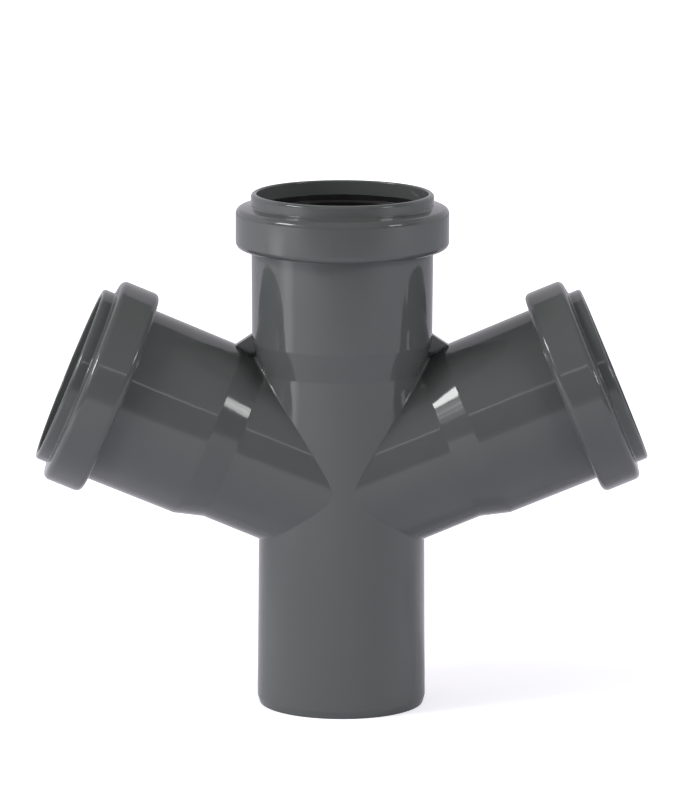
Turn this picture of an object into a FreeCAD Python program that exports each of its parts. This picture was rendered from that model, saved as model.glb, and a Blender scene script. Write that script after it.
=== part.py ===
"""Double branch fitting for push-fit waste pipe.

A straight run carries a plain spigot at the bottom and a socket at the top. Two equal branches leave it
on opposite sides, each at the branch angle from the run's upward axis, and each ends in the same socket.
A black rubber seal sits in the groove inside each socket's bead.

The origin is the centre of the spigot's end. +Z goes up the run to the top socket, and the branches lie
in the XZ plane.
"""

import math
import os

import FreeCAD, Part

# Pipe and layout, in millimetres and degrees
PIPE_DIAMETER = 50.0  # outside diameter of the pipe that every end joins
BRANCH_ANGLE = 67.5  # between the run's upward axis and each branch's axis
SPIGOT_REACH = 66.5  # spigot end to the crossing of the axes
TOP_REACH = 88.0  # crossing to the rim of the top socket
BRANCH_REACH = 88.0  # crossing to the rim of a branch socket

# Tubes around the crossing
RUN_EASE = 0.6  # how much the run narrows in radius from its spigot to its socket
BRANCH_EASE = 0.5  # how much smaller in radius a branch tube is than the pipe
TUBE_WALL = 1.8
CREASE_RADIUS = 0.6  # rounding where a branch leaves the run

# Spigot
SPIGOT_LENGTH = 38.0  # straight outside wall that a socket takes, above the chamfer
CHAMFER_LENGTH = 2.3
CHAMFER_DEPTH = 0.6

# Socket, measured back from its rim
SOCKET_CLEARANCE = 0.2  # radial gap between the pipe and the socket's bore
LIP_CLEARANCE = 0.5  # the same gap inside the lip
LIP_LENGTH = 3.7
LIP_WALL = 1.7
LIP_OUTER_EDGE = 0.6  # bevel on the rim's outer edge
BEAD_WIDTH = 12.7
BEAD_WALL = 1.7
BEAD_SLOPE = 0.45  # how far the bead's front face leans back
BEAD_ROUND = 1.9  # rounding of the bead's two edges
ROUND_STEPS = 2  # flats that make up each of those roundings
SLEEVE_LENGTH = 28.0
SLEEVE_WALL = 1.75
SHOULDER_LENGTH = 8.75
SHOULDER_ROOT = 2.0  # how far the shoulder's slope carries on inside the tube that it grows from
GROOVE_DEPTH = 4.85  # from the bore's wall out to the groove's wall

# Gussets in the two upper crotches
GUSSET_REACH = 52.8  # crossing to the gusset's flat top, along the crotch's middle
GUSSET_LENGTH = 9.0  # from inside one tube's wall to inside the other's
GUSSET_DEPTH = 13.8  # how far the gusset's root lies below its flat top
GUSSET_WEB = 1.4  # thickness down in the crotch
GUSSET_TOP = 3.8  # thickness of its flat top
GUSSET_SPLAY = 2.2  # height over which the web thickens to its top

# Rubber seal
SEAL_END_GAP = 0.15  # between the seal and each end of its groove
SEAL_PIPE_GAP = 0.05  # radial gap around the pipe, with the rubber pressed back to its fitted size

# Radii that follow from the sizes above
PIPE_RADIUS = PIPE_DIAMETER / 2
RUN_RADIUS = PIPE_RADIUS - RUN_EASE
BRANCH_RADIUS = PIPE_RADIUS - BRANCH_EASE
BORE_RADIUS = PIPE_RADIUS + SOCKET_CLEARANCE
LIP_BORE_RADIUS = PIPE_RADIUS + LIP_CLEARANCE
LIP_RADIUS = LIP_BORE_RADIUS + LIP_WALL
SLEEVE_RADIUS = BORE_RADIUS + SLEEVE_WALL
GROOVE_RADIUS = BORE_RADIUS + GROOVE_DEPTH
BEAD_RADIUS = GROOVE_RADIUS + BEAD_WALL

# Depths behind a socket's rim that follow from the sizes above
BEAD_BACK = LIP_LENGTH + BEAD_WIDTH
SOCKET_DEPTH = BEAD_BACK + SLEEVE_LENGTH
SHOULDER_BACK = SOCKET_DEPTH + SHOULDER_LENGTH
GROOVE_FRONT = LIP_LENGTH + BEAD_WALL
GROOVE_BACK = BEAD_BACK - BEAD_WALL

UP = FreeCAD.Vector(0, 0, 1)
ORIGIN = FreeCAD.Vector(0, 0, 0)
CROSSING = FreeCAD.Vector(0, 0, SPIGOT_REACH)
BRANCH_ANGLES = (-BRANCH_ANGLE, BRANCH_ANGLE)
OVERRUN = 1.0  # how far a cutting tool runs past the end it opens


def turned(profile):
    """A solid turned around Z from (radius, height) corners."""
    points = [FreeCAD.Vector(radius, 0, height) for radius, height in profile]
    face = Part.Face(Part.makePolygon(points + points[:1]))
    return face.revolve(ORIGIN, UP, 360)


def rounding(radius, height, toward):
    """Points on the arc that rounds a bead's edge, from its end face to its side."""
    points = []
    for i in range(ROUND_STEPS + 1):
        turn = math.pi / 2 * i / ROUND_STEPS
        out = radius - BEAD_ROUND * (1 - math.sin(turn))
        points.append((out, height + toward * BEAD_ROUND * (1 - math.cos(turn))))
    return points


def socket_outside(rim, tube_radius):
    """The outside of a socket and its shoulder, as a solid."""
    slope = (SLEEVE_RADIUS - tube_radius) / SHOULDER_LENGTH
    back_edge = rounding(BEAD_RADIUS, rim - BEAD_BACK, 1)
    front_edge = rounding(BEAD_RADIUS, rim - LIP_LENGTH - BEAD_SLOPE, -1)
    return turned([
        (0, rim - SHOULDER_BACK - SHOULDER_ROOT),
        (tube_radius - slope * SHOULDER_ROOT, rim - SHOULDER_BACK - SHOULDER_ROOT),
        (SLEEVE_RADIUS, rim - SOCKET_DEPTH),
        (SLEEVE_RADIUS, rim - BEAD_BACK),
    ] + back_edge + front_edge[::-1] + [
        (LIP_RADIUS, rim - LIP_LENGTH),
        (LIP_RADIUS, rim - LIP_OUTER_EDGE),
        (LIP_RADIUS - LIP_OUTER_EDGE, rim),
        (0, rim),
    ])


def socket_hollow(rim):
    """The corners of a socket's hollow, from the ledge that stops the pipe out past the rim."""
    return [
        (BORE_RADIUS, rim - SOCKET_DEPTH),
        (BORE_RADIUS, rim - GROOVE_BACK),
        (GROOVE_RADIUS, rim - GROOVE_BACK),
        (GROOVE_RADIUS, rim - GROOVE_FRONT),
        (LIP_BORE_RADIUS, rim - GROOVE_FRONT),
        (LIP_BORE_RADIUS, rim + OVERRUN),
        (0, rim + OVERRUN),
    ]


def run_tube():
    """The run's outside from the chamfered spigot's end up into the top socket, as a solid."""
    return turned([
        (0, 0),
        (PIPE_RADIUS - CHAMFER_DEPTH, 0),
        (PIPE_RADIUS, CHAMFER_LENGTH),
        (PIPE_RADIUS, CHAMFER_LENGTH + SPIGOT_LENGTH),
        (RUN_RADIUS, SPIGOT_REACH + TOP_REACH - SOCKET_DEPTH),
        (0, SPIGOT_REACH + TOP_REACH - SOCKET_DEPTH),
    ])


def run_inside():
    """The hollow of the run, open at both ends."""
    rim = SPIGOT_REACH + TOP_REACH
    waterway = RUN_RADIUS - TUBE_WALL
    return turned([
        (0, -OVERRUN),
        (waterway, -OVERRUN),
        (waterway, rim - SOCKET_DEPTH),
    ] + socket_hollow(rim))


def branch_tube():
    """The outside of a branch from the crossing up into its socket, as a solid."""
    return turned([
        (0, 0),
        (BRANCH_RADIUS, 0),
        (BRANCH_RADIUS, BRANCH_REACH - SOCKET_DEPTH),
        (0, BRANCH_REACH - SOCKET_DEPTH),
    ])


def branch_inside():
    """The hollow of a branch from the crossing out through its socket."""
    waterway = BRANCH_RADIUS - TUBE_WALL
    return turned([
        (0, 0),
        (waterway, 0),
        (waterway, BRANCH_REACH - SOCKET_DEPTH),
    ] + socket_hollow(BRANCH_REACH))


def seal_ring(rim):
    """A seal at its fitted size, seated on its groove's wall."""
    narrow = PIPE_RADIUS + SEAL_PIPE_GAP
    front = rim - GROOVE_FRONT - SEAL_END_GAP
    back = rim - GROOVE_BACK + SEAL_END_GAP
    return turned([
        (GROOVE_RADIUS, back),
        (GROOVE_RADIUS, front),
        (narrow, front),
        (narrow, back),
    ])


def placed(shape, angle):
    """The shape moved from the origin to the crossing and tilted from the run by an angle in the XZ plane."""
    tilt = FreeCAD.Rotation(FreeCAD.Vector(0, 1, 0), angle)
    copy = shape.copy()
    copy.Placement = FreeCAD.Placement(CROSSING, tilt)
    return copy


def gusset(angle):
    """The web in the crotch between the run and one branch, which thickens up to a flat top."""
    half = [
        (GUSSET_WEB / 2, GUSSET_REACH - GUSSET_DEPTH),
        (GUSSET_WEB / 2, GUSSET_REACH - GUSSET_SPLAY),
        (GUSSET_TOP / 2, GUSSET_REACH),
    ]
    section = half + [(-across, height) for across, height in reversed(half)]
    points = [FreeCAD.Vector(-GUSSET_LENGTH / 2, across, height) for across, height in section]
    face = Part.Face(Part.makePolygon(points + points[:1]))
    web = face.extrude(FreeCAD.Vector(GUSSET_LENGTH, 0, 0))
    return placed(web, angle / 2)


def is_crease(edge, run, branch):
    """Does this edge run along the meeting of the run's outside and a branch's?"""
    first, last = edge.ParameterRange
    point = Part.Vertex(edge.valueAt((first + last) / 2))
    touch = Part.Precision.confusion() * 1000
    on_run = point.distToShape(run.Shells[0])[0] < touch
    return on_run and point.distToShape(branch.Shells[0])[0] < touch


def outside():
    """The fitting's outside as one solid, with rounded creases and the two gussets."""
    run = run_tube()
    branches = [placed(branch_tube(), angle) for angle in BRANCH_ANGLES]
    tubes = run.fuse(branches)
    creases = [e for e in tubes.Edges if any(is_crease(e, run, b) for b in branches)]
    rounded = tubes.makeFillet(CREASE_RADIUS, creases)
    sockets = [placed(socket_outside(TOP_REACH, RUN_RADIUS), 0)]
    sockets += [placed(socket_outside(BRANCH_REACH, BRANCH_RADIUS), angle) for angle in BRANCH_ANGLES]
    return rounded.fuse(sockets + [gusset(angle) for angle in BRANCH_ANGLES])


def body():
    """The moulded fitting."""
    hollow = [run_inside()] + [placed(branch_inside(), angle) for angle in BRANCH_ANGLES]
    return outside().cut(hollow).Solids[0]


def seals():
    """Each seal ring with its node's name."""
    rings = {"seal_ring_top": placed(seal_ring(TOP_REACH), 0)}
    for side, angle in zip(("left", "right"), BRANCH_ANGLES):
        rings[f"seal_ring_{side}"] = placed(seal_ring(BRANCH_REACH), angle)
    return rings


os.makedirs("parts", exist_ok=True)
body().exportStep("parts/body.step")
for name, ring in seals().items():
    ring.exportStep(f"parts/{name}.step")
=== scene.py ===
import math
from collections import namedtuple

import bmesh
import bpy
from mathutils import Matrix, Vector

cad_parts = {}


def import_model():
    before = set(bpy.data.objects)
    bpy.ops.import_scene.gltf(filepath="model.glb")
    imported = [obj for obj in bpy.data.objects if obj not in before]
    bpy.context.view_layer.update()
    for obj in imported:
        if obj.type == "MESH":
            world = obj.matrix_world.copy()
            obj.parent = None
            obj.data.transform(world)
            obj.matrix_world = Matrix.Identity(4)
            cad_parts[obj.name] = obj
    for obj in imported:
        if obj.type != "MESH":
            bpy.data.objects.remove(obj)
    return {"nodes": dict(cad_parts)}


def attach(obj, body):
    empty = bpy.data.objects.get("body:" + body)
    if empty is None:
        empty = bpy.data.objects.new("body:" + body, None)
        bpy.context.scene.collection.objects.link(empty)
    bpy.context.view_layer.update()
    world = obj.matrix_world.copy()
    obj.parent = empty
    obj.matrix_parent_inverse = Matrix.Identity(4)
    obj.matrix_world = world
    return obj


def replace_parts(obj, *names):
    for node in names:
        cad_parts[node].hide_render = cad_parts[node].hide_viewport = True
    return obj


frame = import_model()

# Tubes in millimetres, the same as the solids' except for the roundings and the run's draft
MM = 0.001
CROSSING_HEIGHT = 66.5
BRANCH_ANGLE = math.radians(67.5)  # from the run's upward axis
BRANCH_RADIUS = 24.5
RUN_FOOT_RADIUS = 25.2  # the run narrows evenly from here at its spigot's end
RUN_DRAFT = 0.0072
RUN_WATERWAY = 22.6
BRANCH_WATERWAY = 22.5  # a little less than the run's, so that its crease closes
CREASE_ROUND = 0.6
CHAMFER_HEIGHT = 2.3
CHAMFER_RADIUS = 24.5
CHAMFER_ROUND = 2.0
SPIGOT_END_ROUND = 0.3

# Socket in millimetres, as radii and as distances out from the crossing
REACH = 88.0  # its rim
SHOULDER_START = 34.85
SHOULDER_ROUND = 3.0
SLEEVE_START = 43.6  # the ledge that stops the pipe lies here too
SLEEVE_FOOT = 26.86
SLEEVE_TOP = 27.05
BEAD_RADIUS = 31.75
BEAD_BACK = 71.6
BEAD_FRONT = 84.3
BEAD_FRONT_EDGE = 83.53  # where the bead's leaning front would meet its side
BEAD_ROUND = 1.9
BEAD_FOOT_ROUND = 0.4
LIP_RADIUS = 27.2
LIP_ROUND = 1.0
LIP_BORE = 25.5
LIP_BORE_ROUND = 0.5
BORE = 25.2
GROOVE_RADIUS = 30.05
GROOVE_FRONT = 82.6
GROOVE_BACK = 73.3
GROOVE_ROUND = 0.3
LIP_BACK_ROUND = 0.2
LEDGE_ROUND = 0.5
OUTLINE_LEAD = 2.0  # how far a socket's outline runs on along its tube, outside and inside

# Gussets, as sections at distances along the crotch with their half lengths and half thicknesses
GUSSET_SLICES = [(42.2, 0.2, 0.6), (47.6, 2.1, 0.6), (50.3, 3.3, 1.8), (52.7, 4.35, 1.9), (52.8, 4.4, 1.8)]

# Seal's section, as (radius, distance, rounding) corners from the groove's wall round the lip
SEAL_SECTION = [
    (30.0, 78.0, 0),
    (30.0, 82.45, 0.5),
    (25.48, 82.45, 0.1),
    (25.48, 83.75, 0.1),
    (25.3, 83.8, 0.1),
    (25.25, 82.0, 0.15),
    (24.7, 81.5, 0.2),
    (24.9, 78.2, 0.6),
    (27.0, 77.2, 0.8),
    (26.6, 75.6, 0.5),
    (27.2, 73.45, 0.5),
    (30.0, 73.45, 0.5),
    (30.0, 78.0, 0),
]

# How finely the pieces are divided
LOOP_STEPS = 160
ROW_STEPS = 8
STRIP_STEPS = 4
ARC_STEPS = 6
RING_STEPS = 192
HALVINGS = 40  # of the stretch in which a crease is sought
MERGE_DISTANCE = 1e-7
SHORTEST_EDGE = 1e-8
SHARP_ANGLE = math.radians(40)

# Camera, fitted to the photograph's outline. Distances are in metres and angles in degrees.
IMAGE_WIDTH = 696
IMAGE_HEIGHT = 800
CROSSING = Vector((0, 0, CROSSING_HEIGHT * MM))
CROSSING_PIXEL = (341.75, 483.8)  # where the photograph shows the crossing of the axes
CAMERA_DISTANCE = 1.784
CAMERA_AZIMUTH = -0.914
CAMERA_ELEVATION = 11.307
CAMERA_ROLL = 0.153
CAMERA_SIGHT = 100
FOCAL_PIXELS = 5960.4
SENSOR = 36.0

# Studio around the fitting, as brightness by direction. Heights are on a sphere of radius 1.
DARK_LEVEL = 0.26
FRONT_LEVEL = 0.12  # in front, from the floor up to the light band
WHITE_LEVEL = 0.72
WHITE_TOP = 0.67  # the white behind the fitting reaches up to here
BAND_HEIGHT = 0.45  # a thin light band crosses the dark front here
BAND_HALF_WIDTH = 0.012
BAND_LEVEL = 2.0
STUDIO = (0.97, 0.94, 1.0)

# Lamps. Each has a name, a direction and distance from the fitting's crossing, a width and height, its power,
# and whether the gloss shows it.
HIGH_LEFT = (-0.772, -0.246, 0.586)
HIGH_RIGHT = (0.772, -0.444, 0.452)
LAMPS = [
    ("left", HIGH_LEFT, 1.6, 0.5, 0.34, 8.8, True),
    ("left_glow", (-0.752, -0.475, 0.455), 1.6, 0.5, 0.32, 1.0, True),
    ("left_faint", (-0.723, -0.59, 0.35), 1.6, 0.5, 0.2, 0.35, True),
    ("left_fill", HIGH_LEFT, 1.6, 0.6, 0.6, 6.0, False),
    ("left_low", (-0.85, -0.5, 0.1), 1.6, 0.6, 0.6, 6.8, False),
    ("left_strip", (-0.955, -0.292, -0.05), 0.35, 0.13, 0.095, 0.021, True),
    ("left_strip_core", (-0.951, -0.305, -0.05), 0.36, 0.07, 0.095, 0.013, True),
    ("right", HIGH_RIGHT, 1.6, 0.4, 0.3, 3.1, True),
    ("right_fill", HIGH_RIGHT, 1.6, 0.6, 0.6, 7.3, False),
    ("top", (0.0, -0.1, 1.0), 1.6, 1.0, 1.0, 1.2, False),
]

# Floor. It greys far out in front, and the camera sees it lifted toward white as it leaves the fitting.
FLOOR_SIZE = 12
FLOOR = (0.88, 0.87, 0.93)
FLOOR_FRONT = (0.35, 0.35, 0.37)
FRONT_START, FRONT_END = 0.5, 1.0
LIFT_START, LIFT_END = 0.1, 1.2
LIFT_NEAR, LIFT_FAR = 0.5, 0.95

# Materials. Colours are linear. A noise is its grain in metres and its detail, and each bump adds its depth.
REFRACTION = 1.5
NOISE_LOW, NOISE_HIGH = 0.3, 0.7  # the usual reach of a noise
PLASTIC = {
    "name": "grey_plastic",
    "dark": (0.078, 0.084, 0.082),
    "light": (0.083, 0.089, 0.087),
    "colour_noise": (0.03, 2.0),
    "roughness": (0.05, 0.11),
    "roughness_noise": (0.012, 3.0),
    "bumps": [(0.024, 0.0, 0.00015), (0.006, 1.0, 0.00002), (0.0006, 2.0, 0.000003)],
}
RUBBER = {
    "name": "black_rubber",
    "dark": (0.006, 0.006, 0.006),
    "light": (0.012, 0.012, 0.012),
    "colour_noise": (0.004, 2.0),
    "roughness": (0.28, 0.4),
    "roughness_noise": (0.003, 2.0),
    "bumps": [(0.0005, 2.0, 0.00001)],
}

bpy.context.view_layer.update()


def rounded(corners):
    """An outline through (radius, distance, rounding) corners, with an arc at each that has a rounding."""
    points = [Vector((radius, distance)) for radius, distance, _ in corners]
    outline = []
    for i, (_, _, rounding) in enumerate(corners):
        if not rounding:
            outline.append(points[i])
            continue
        back = (points[i - 1] - points[i]).normalized()
        on = (points[i + 1] - points[i]).normalized()
        half = back.angle(on) / 2
        centre = points[i] + (back + on).normalized() * rounding / math.sin(half)
        first = points[i] + back * rounding / math.tan(half) - centre
        last = points[i] + on * rounding / math.tan(half) - centre
        sweep = first.angle_signed(last)
        for k in range(ARC_STEPS + 1):
            turn = Matrix.Rotation(-sweep * k / ARC_STEPS, 2)
            outline.append(centre + turn @ first)
    return [(p.x, p.y) for p in outline]


def socket_outline(tube_radius, waterway):
    """Half a socket's section, from its shoulder's foot over the bead and the rim and in to the waterway."""
    return rounded([
        (tube_radius, SHOULDER_START - OUTLINE_LEAD, 0),
        (tube_radius, SHOULDER_START, SHOULDER_ROUND),
        (SLEEVE_FOOT, SLEEVE_START, SHOULDER_ROUND),
        (SLEEVE_TOP, BEAD_BACK, BEAD_FOOT_ROUND),
        (BEAD_RADIUS, BEAD_BACK, BEAD_ROUND),
        (BEAD_RADIUS, BEAD_FRONT_EDGE, BEAD_ROUND),
        (LIP_RADIUS, BEAD_FRONT, BEAD_FOOT_ROUND),
        (LIP_RADIUS, REACH, LIP_ROUND),
        (LIP_BORE, REACH, LIP_BORE_ROUND),
        (LIP_BORE, GROOVE_FRONT, LIP_BACK_ROUND),
        (GROOVE_RADIUS, GROOVE_FRONT, GROOVE_ROUND),
        (GROOVE_RADIUS, GROOVE_BACK, GROOVE_ROUND),
        (BORE, GROOVE_BACK, GROOVE_ROUND),
        (BORE, SLEEVE_START, LEDGE_ROUND),
        (waterway, SLEEVE_START, LEDGE_ROUND),
        (waterway, SLEEVE_START - OUTLINE_LEAD, 0),
    ])


def radius_on(outline, distance):
    """The radius of an outline's first, rising stretch at a distance."""
    for (r0, d0), (r1, d1) in zip(outline, outline[1:]):
        if d0 <= distance <= d1:
            return r0 + (r1 - r0) * (distance - d0) / (d1 - d0)
    return outline[0][0]


def run_radius(height):
    """The drafted run's outside radius at a height above the crossing."""
    return RUN_FOOT_RADIUS - RUN_DRAFT * (height + CROSSING_HEIGHT)


RUN_OUTLINE = socket_outline(run_radius(SHOULDER_START), RUN_WATERWAY)
BRANCH_OUTLINE = socket_outline(BRANCH_RADIUS, BRANCH_WATERWAY)
RIM_POINT = next(i for i, (_, distance) in enumerate(RUN_OUTLINE) if distance >= REACH)


def run_outside(height):
    """The run's outside radius with the foot of its socket."""
    return run_radius(height) if height < RUN_OUTLINE[0][1] else radius_on(RUN_OUTLINE, height)


def branch_outside(along):
    """A branch's outside radius with the foot of its socket."""
    return radius_on(BRANCH_OUTLINE, along)


# Directions from the crossing: out along the right branch, square to it upwards, and to the front
OUTWARD = Vector((math.sin(BRANCH_ANGLE), 0, math.cos(BRANCH_ANGLE)))
UPWARD = Vector((-math.cos(BRANCH_ANGLE), 0, math.sin(BRANCH_ANGLE)))
FRONTWARD = Vector((0, -1, 0))

Touch = namedtuple("Touch", "centre out along angle height")


def crossing_loop(run_at, branch_at):
    """Where a ball of the crease's rounding touches the run and the right branch, all round the crease.

    Each place has the ball's centre, the direction out from the branch's axis, how far along the branch the
    ball touches it, and the angle and height at which it touches the run.
    """
    loop = []
    for i in range(LOOP_STEPS):
        turn = 2 * math.pi * i / LOOP_STEPS
        out = UPWARD * math.cos(turn) + FRONTWARD * math.sin(turn)
        low, high = 0.0, SLEEVE_START
        for _ in range(HALVINGS):
            along = (low + high) / 2
            centre = OUTWARD * along + out * (branch_at(along) + CREASE_ROUND)
            if math.hypot(centre.x, centre.y) < run_at(centre.z) + CREASE_ROUND:
                low = along
            else:
                high = along
        loop.append(Touch(centre, out, along, math.atan2(centre.y, centre.x), centre.z))
    return loop


def around_run(angle, height, radius):
    """The point at an angle round the run, a height and a radius."""
    return Vector((radius * math.cos(angle), radius * math.sin(angle), height))


def crease_arc(touch):
    """The crease's rounding at one place, from the run to the branch."""
    to_run = Vector((-math.cos(touch.angle), -math.sin(touch.angle), 0))
    turns = [to_run.slerp(-touch.out, k / ARC_STEPS) for k in range(ARC_STEPS + 1)]
    return [touch.centre + turn * CREASE_ROUND for turn in turns]


def rows(start, stop):
    """Distances between a start and a stop, without either."""
    return [start + (stop - start) * k / ROW_STEPS for k in range(1, ROW_STEPS)]


def branch_columns(outer, inner):
    """Lines of points along the right branch, from the run's outside over the rim and back in to the run."""
    columns = []
    for outside, inside in zip(outer, inner):
        start, out = outside.along, outside.out
        column = crease_arc(outside)
        first = max(BRANCH_OUTLINE[0][1], start)
        column += [OUTWARD * d + out * branch_outside(d) for d in rows(start, first)]
        for i, (radius, distance) in enumerate(BRANCH_OUTLINE):
            hidden = i < RIM_POINT and distance <= start
            column.append(column[ARC_STEPS] if hidden else OUTWARD * distance + out * radius)
        column += [OUTWARD * d + out * BRANCH_WATERWAY for d in rows(BRANCH_OUTLINE[-1][1], inside.along)]
        column += reversed(crease_arc(inside))
        columns.append(column)
    return columns


def strip(first, last):
    """The (angle, height) places between two neighbours, at the first one's height."""
    return [(first[0] + (last[0] - first[0]) * k / STRIP_STEPS, first[1]) for k in range(1, STRIP_STEPS)]


def run_ring(loop, upper):
    """The (angle, height) places all round the run where its upper or lower wall meets the creases."""
    quarter = LOOP_STEPS // 4
    span = range(quarter, -quarter - 1, -1) if upper else range(quarter, 3 * quarter + 1)
    right = [(loop[i % LOOP_STEPS].angle, loop[i % LOOP_STEPS].height) for i in span]
    left = [(math.pi - angle, height) for angle, height in reversed(right)]
    last_angle, last_height = left[-1]
    return right + strip(right[-1], left[0]) + left + strip((last_angle - 2 * math.pi, last_height), right[0])


def upper_columns(outer, inner):
    """Lines of points up the run, from the creases over the top rim and back down inside."""
    columns = []
    for (angle, start), (inner_angle, inner_start) in zip(run_ring(outer, True), run_ring(inner, True)):
        column = [around_run(angle, start, run_outside(start))]
        first = max(RUN_OUTLINE[0][1], start)
        column += [around_run(angle, h, run_outside(h)) for h in rows(start, first)]
        for i, (radius, height) in enumerate(RUN_OUTLINE):
            hidden = i < RIM_POINT and height <= start
            turn = angle if i <= RIM_POINT else inner_angle
            column.append(column[0] if hidden else around_run(turn, height, radius))
        column += [around_run(inner_angle, h, RUN_WATERWAY) for h in rows(RUN_OUTLINE[-1][1], inner_start)]
        column.append(around_run(inner_angle, inner_start, RUN_WATERWAY))
        columns.append(column)
    return columns


def lower_columns(outer, inner):
    """Lines of points down the run, from the creases round the spigot's end and back up inside."""
    foot = -CROSSING_HEIGHT
    end = rounded([
        (run_radius(foot + 2 * CHAMFER_HEIGHT), foot + 2 * CHAMFER_HEIGHT, 0),
        (run_radius(foot + CHAMFER_HEIGHT), foot + CHAMFER_HEIGHT, CHAMFER_ROUND),
        (CHAMFER_RADIUS, foot, SPIGOT_END_ROUND),
        (RUN_WATERWAY, foot, SPIGOT_END_ROUND),
        (RUN_WATERWAY, foot + 2 * CHAMFER_HEIGHT, 0),
    ])
    half = len(end) // 2
    columns = []
    for (angle, start), (inner_angle, inner_start) in zip(run_ring(outer, False), run_ring(inner, False)):
        column = [around_run(angle, start, run_radius(start))]
        column += [around_run(angle, h, run_radius(h)) for h in rows(start, end[0][1])]
        column += [around_run(angle if i < half else inner_angle, h, r) for i, (r, h) in enumerate(end)]
        column += [around_run(inner_angle, h, RUN_WATERWAY) for h in rows(end[-1][1], inner_start)]
        column.append(around_run(inner_angle, inner_start, RUN_WATERWAY))
        columns.append(column)
    return columns


def new_vertex(mesh, point):
    """A vertex at a point given in millimetres from the crossing."""
    return mesh.verts.new((point + Vector((0, 0, CROSSING_HEIGHT))) * MM)


def add_grid(mesh, columns):
    """Quads between neighbouring lines of points, closed all round."""
    lines = [[new_vertex(mesh, point) for point in line] for line in columns]
    for near, far in zip(lines, lines[1:] + lines[:1]):
        for k in range(len(near) - 1):
            mesh.faces.new((near[k], far[k], far[k + 1], near[k + 1]))


def object_from(name, mesh, look):
    """A visible piece from a finished mesh, smooth and with its normals steadied by its large faces."""
    bmesh.ops.remove_doubles(mesh, verts=mesh.verts, dist=MERGE_DISTANCE)
    bmesh.ops.dissolve_degenerate(mesh, edges=mesh.edges, dist=SHORTEST_EDGE)
    bmesh.ops.recalc_face_normals(mesh, faces=mesh.faces)
    for face in mesh.faces:
        face.smooth = True
    data = bpy.data.meshes.new(name)
    mesh.to_mesh(data)
    mesh.free()
    data.set_sharp_from_angle(angle=SHARP_ANGLE)
    data.materials.append(look)
    thing = bpy.data.objects.new(name, data)
    bpy.context.scene.collection.objects.link(thing)
    steady = thing.modifiers.new("steady_normals", "WEIGHTED_NORMAL")
    steady.keep_sharp = True
    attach(thing, "root")
    return thing


def add_gusset(mesh, side):
    """The web in the crotch between the run and one branch, which thickens up to a flat top."""
    axis = Vector((side * math.sin(BRANCH_ANGLE / 2), 0, math.cos(BRANCH_ANGLE / 2)))
    across = Vector((side * axis.z, 0, -side * axis.x))
    slices = []
    for reach, end, thick in GUSSET_SLICES:
        corners = [(end, thick), (-end, thick), (-end, -thick), (end, -thick)]
        slices.append([new_vertex(mesh, axis * reach + across * a + FRONTWARD * f) for a, f in corners])
    for lower, upper in zip(slices, slices[1:]):
        for k in range(4):
            mesh.faces.new((lower[k], lower[k - 1], upper[k - 1], upper[k]))
    mesh.faces.new(slices[0])
    mesh.faces.new(slices[-1])


def body_shell(look):
    """The moulded fitting as one closed skin with true roundings, and its two gussets."""
    outer = crossing_loop(run_outside, branch_outside)
    inner = crossing_loop(lambda height: RUN_WATERWAY, lambda along: BRANCH_WATERWAY)
    mesh = bmesh.new()
    right = branch_columns(outer, inner)
    add_grid(mesh, right)
    add_grid(mesh, [[Vector((-p.x, p.y, p.z)) for p in line] for line in right])
    add_grid(mesh, upper_columns(outer, inner))
    add_grid(mesh, lower_columns(outer, inner))
    for side in (-1, 1):
        add_gusset(mesh, side)
    shell = object_from("body_shell", mesh, look)
    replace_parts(shell, "body")


def seal(name, direction, look):
    """A seal ring of the real section, with a soft lip round the pipe, out along one socket's axis."""
    section = rounded(SEAL_SECTION)
    turn = Vector((0, 0, 1)).rotation_difference(Vector(direction)).to_matrix()
    columns = []
    for i in range(RING_STEPS):
        angle = 2 * math.pi * i / RING_STEPS
        columns.append([turn @ around_run(angle, distance, radius) for radius, distance in section])
    mesh = bmesh.new()
    add_grid(mesh, columns)
    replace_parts(object_from(name + "_rubber", mesh, look), name)


def maths(tree, operation, first, second):
    """A math node on two values, each a socket or a number."""
    node = tree.nodes.new("ShaderNodeMath")
    node.operation = operation
    for socket, value in zip(node.inputs, (first, second)):
        if isinstance(value, (int, float)):
            socket.default_value = value
        else:
            tree.links.new(value, socket)
    return node.outputs[0]


def ramp(tree, value, start, stop, low, high, shape="LINEAR"):
    """A value that goes from low to high as another goes from start to stop."""
    node = tree.nodes.new("ShaderNodeMapRange")
    node.interpolation_type = shape
    node.inputs["From Min"].default_value = start
    node.inputs["From Max"].default_value = stop
    node.inputs["To Min"].default_value = low
    node.inputs["To Max"].default_value = high
    tree.links.new(value, node.inputs["Value"])
    return node.outputs["Result"]


def colour_between(tree, factor, first, second):
    """A colour that goes from the first to the second as the factor goes from 0 to 1."""
    node = tree.nodes.new("ShaderNodeMix")
    node.data_type = "RGBA"
    node.inputs["A"].default_value = (*first, 1)
    node.inputs["B"].default_value = (*second, 1)
    tree.links.new(factor, node.inputs["Factor"])
    return node.outputs["Result"]


def noise(tree, grain, detail):
    """A noise over the object, with grains of about this size in metres."""
    place = tree.nodes.new("ShaderNodeTexCoord")
    node = tree.nodes.new("ShaderNodeTexNoise")
    node.inputs["Scale"].default_value = 1 / grain
    node.inputs["Detail"].default_value = detail
    tree.links.new(place.outputs["Object"], node.inputs["Vector"])
    return node.outputs["Fac"]


def noise_between(tree, grain, detail, low, high):
    """A value that wanders between low and high with a noise."""
    return ramp(tree, noise(tree, grain, detail), NOISE_LOW, NOISE_HIGH, low, high)


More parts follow.
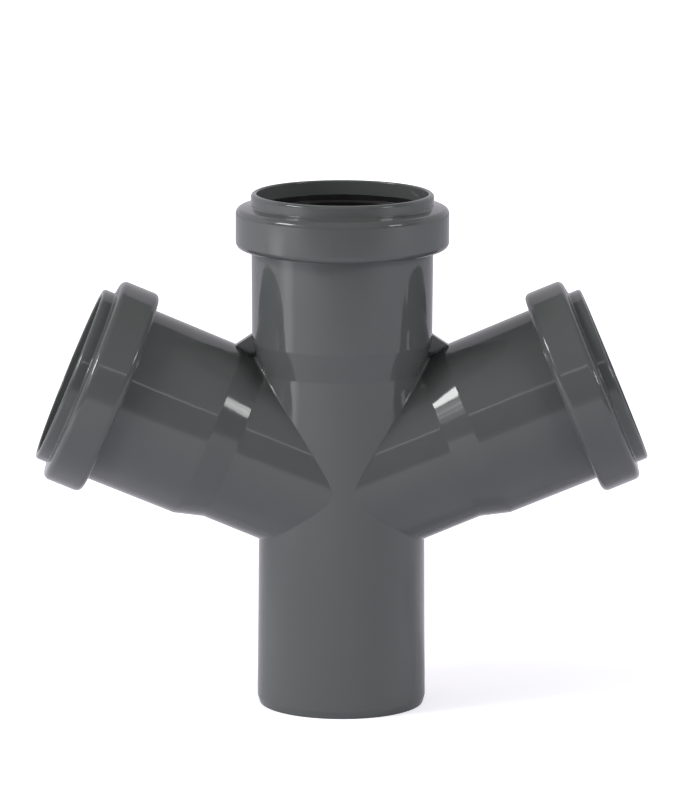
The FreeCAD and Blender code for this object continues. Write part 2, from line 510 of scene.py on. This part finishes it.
def bump(tree, height, distance, below=None):
    """A bump of a height map that is this deep in metres, laid over another bump where one is given."""
    node = tree.nodes.new("ShaderNodeBump")
    node.inputs["Strength"].default_value = 1.0
    node.inputs["Distance"].default_value = distance
    tree.links.new(height, node.inputs["Height"])
    if below:
        tree.links.new(below, node.inputs["Normal"])
    return node.outputs["Normal"]


def finish(look):
    """A moulded material that is slightly uneven in its colour, its gloss and its flatness."""
    material = bpy.data.materials.new(look["name"])
    material.use_nodes = True
    tree = material.node_tree
    shader = tree.nodes["Principled BSDF"]
    shader.inputs["IOR"].default_value = REFRACTION
    drift = noise_between(tree, *look["colour_noise"], 0, 1)
    tree.links.new(colour_between(tree, drift, look["dark"], look["light"]), shader.inputs["Base Color"])
    roughness = noise_between(tree, *look["roughness_noise"], *look["roughness"])
    tree.links.new(roughness, shader.inputs["Roughness"])
    normal = None
    for grain, detail, depth in look["bumps"]:
        normal = bump(tree, noise(tree, grain, detail), depth, normal)
    tree.links.new(normal, shader.inputs["Normal"])
    return material


def floor_colour(tree, place):
    """White, and greyer far out in front."""
    split = tree.nodes.new("ShaderNodeSeparateXYZ")
    tree.links.new(place, split.inputs[0])
    ahead = maths(tree, "MULTIPLY", split.outputs["Y"], -1.0)
    front = ramp(tree, ahead, FRONT_START, FRONT_END, 0.0, 1.0, "SMOOTHSTEP")
    return colour_between(tree, front, FLOOR, FLOOR_FRONT)


def floor_lift(tree, place):
    """The light that the camera alone sees added to the floor, more of it further from the fitting."""
    length = tree.nodes.new("ShaderNodeVectorMath")
    length.operation = "LENGTH"
    tree.links.new(place, length.inputs[0])
    lift = ramp(tree, length.outputs["Value"], LIFT_START, LIFT_END, LIFT_NEAR, LIFT_FAR, "SMOOTHSTEP")
    path = tree.nodes.new("ShaderNodeLightPath")
    return maths(tree, "MULTIPLY", path.outputs["Is Camera Ray"], lift)


def floor():
    """A white floor that keeps a faint shadow."""
    bpy.ops.mesh.primitive_plane_add(size=FLOOR_SIZE, location=(0, 0, 0))
    plane = bpy.context.object
    plane.name = "floor"
    material = bpy.data.materials.new("white_floor")
    material.use_nodes = True
    tree = material.node_tree
    tree.nodes.clear()
    place = tree.nodes.new("ShaderNodeTexCoord")
    diffuse = tree.nodes.new("ShaderNodeBsdfDiffuse")
    tree.links.new(floor_colour(tree, place.outputs["Object"]), diffuse.inputs["Color"])
    glow = tree.nodes.new("ShaderNodeEmission")
    tree.links.new(floor_lift(tree, place.outputs["Object"]), glow.inputs["Strength"])
    both = tree.nodes.new("ShaderNodeAddShader")
    tree.links.new(diffuse.outputs[0], both.inputs[0])
    tree.links.new(glow.outputs[0], both.inputs[1])
    out = tree.nodes.new("ShaderNodeOutputMaterial")
    tree.links.new(both.outputs[0], out.inputs["Surface"])
    plane.data.materials.append(material)


def studio_level(tree):
    """The studio's brightness: white behind, and dark in front and overhead with a light band in front."""
    place = tree.nodes.new("ShaderNodeTexCoord")
    split = tree.nodes.new("ShaderNodeSeparateXYZ")
    tree.links.new(place.outputs["Generated"], split.inputs[0])
    height = split.outputs["Z"]
    behind = maths(tree, "GREATER_THAN", split.outputs["Y"], 0.0)
    in_front = maths(tree, "SUBTRACT", 1.0, behind)
    white = maths(tree, "MULTIPLY", behind, maths(tree, "LESS_THAN", height, WHITE_TOP))
    low_front = maths(tree, "MULTIPLY", in_front, maths(tree, "LESS_THAN", height, BAND_HEIGHT))
    off_band = maths(tree, "ABSOLUTE", maths(tree, "SUBTRACT", height, BAND_HEIGHT), 0.0)
    band = maths(tree, "MULTIPLY", in_front, maths(tree, "LESS_THAN", off_band, BAND_HALF_WIDTH))
    level = maths(tree, "ADD", maths(tree, "MULTIPLY", white, WHITE_LEVEL - DARK_LEVEL), DARK_LEVEL)
    level = maths(tree, "SUBTRACT", level, maths(tree, "MULTIPLY", low_front, DARK_LEVEL - FRONT_LEVEL))
    return maths(tree, "ADD", level, maths(tree, "MULTIPLY", band, BAND_LEVEL))


def world():
    """White for the camera, and the studio for all other light."""
    scene = bpy.context.scene
    scene.world = bpy.data.worlds.new("studio")
    scene.world.use_nodes = True
    tree = scene.world.node_tree
    tree.nodes.clear()
    path = tree.nodes.new("ShaderNodeLightPath")
    seen = path.outputs["Is Camera Ray"]
    background = tree.nodes.new("ShaderNodeBackground")
    tree.links.new(maths(tree, "MAXIMUM", studio_level(tree), seen), background.inputs["Strength"])
    tree.links.new(colour_between(tree, seen, STUDIO, (1, 1, 1)), background.inputs["Color"])
    out = tree.nodes.new("ShaderNodeOutputWorld")
    tree.links.new(background.outputs[0], out.inputs["Surface"])


def softbox(name, direction, distance, width, height, power, reflects):
    """A rectangular lamp out along a direction from the fitting, facing it. The gloss may not show it."""
    lamp = bpy.data.lights.new(name, "AREA")
    lamp.shape = "RECTANGLE"
    lamp.size = width
    lamp.size_y = height
    lamp.energy = power
    thing = bpy.data.objects.new(name, lamp)
    bpy.context.scene.collection.objects.link(thing)
    away = Vector(direction).normalized()
    thing.location = CROSSING + away * distance
    thing.rotation_euler = away.to_track_quat("Z", "Y").to_euler()
    thing.visible_glossy = reflects


def camera_turn(ahead, roll):
    """The camera's axes, so that the crossing, which lies ahead, falls on its pixel in the photograph."""
    level_right = ahead.cross(Vector((0, 0, 1))).normalized()
    level_up = level_right.cross(ahead)
    right = level_right * math.cos(roll) + level_up * math.sin(roll)
    up = level_up * math.cos(roll) - level_right * math.sin(roll)
    across = IMAGE_WIDTH / 2 - CROSSING_PIXEL[0]
    above = CROSSING_PIXEL[1] - IMAGE_HEIGHT / 2
    aim = (ahead * FOCAL_PIXELS + right * across + up * above).normalized()
    right = (right - aim * right.dot(aim)).normalized()
    return Matrix((right, right.cross(aim), -aim)).transposed()


def camera():
    """The camera that took the photograph."""
    azimuth = math.radians(CAMERA_AZIMUTH)
    elevation = math.radians(CAMERA_ELEVATION)
    level = math.cos(elevation)
    away = Vector((math.sin(azimuth) * level, -math.cos(azimuth) * level, math.sin(elevation)))
    lens = bpy.data.cameras.new("camera")
    lens.sensor_width = SENSOR
    lens.lens = FOCAL_PIXELS * SENSOR / IMAGE_HEIGHT
    lens.clip_end = CAMERA_SIGHT
    thing = bpy.data.objects.new("camera", lens)
    bpy.context.scene.collection.objects.link(thing)
    turn = camera_turn(-away, math.radians(CAMERA_ROLL))
    thing.matrix_world = Matrix.Translation(CROSSING + away * CAMERA_DISTANCE) @ turn.to_4x4()
    bpy.context.scene.camera = thing


looks = {"body": finish(PLASTIC), "seal": finish(RUBBER)}
for name, node in frame["nodes"].items():
    node.data.materials.clear()
    node.data.materials.append(looks["body" if name == "body" else "seal"])

body_shell(looks["body"])
seal("seal_ring_top", (0, 0, 1), looks["seal"])
seal("seal_ring_right", OUTWARD, looks["seal"])
seal("seal_ring_left", (-OUTWARD.x, 0, OUTWARD.z), looks["seal"])
floor()
world()
for lamp in LAMPS:
    softbox(*lamp)
camera()
bpy.context.scene.view_settings.view_transform = "Standard"
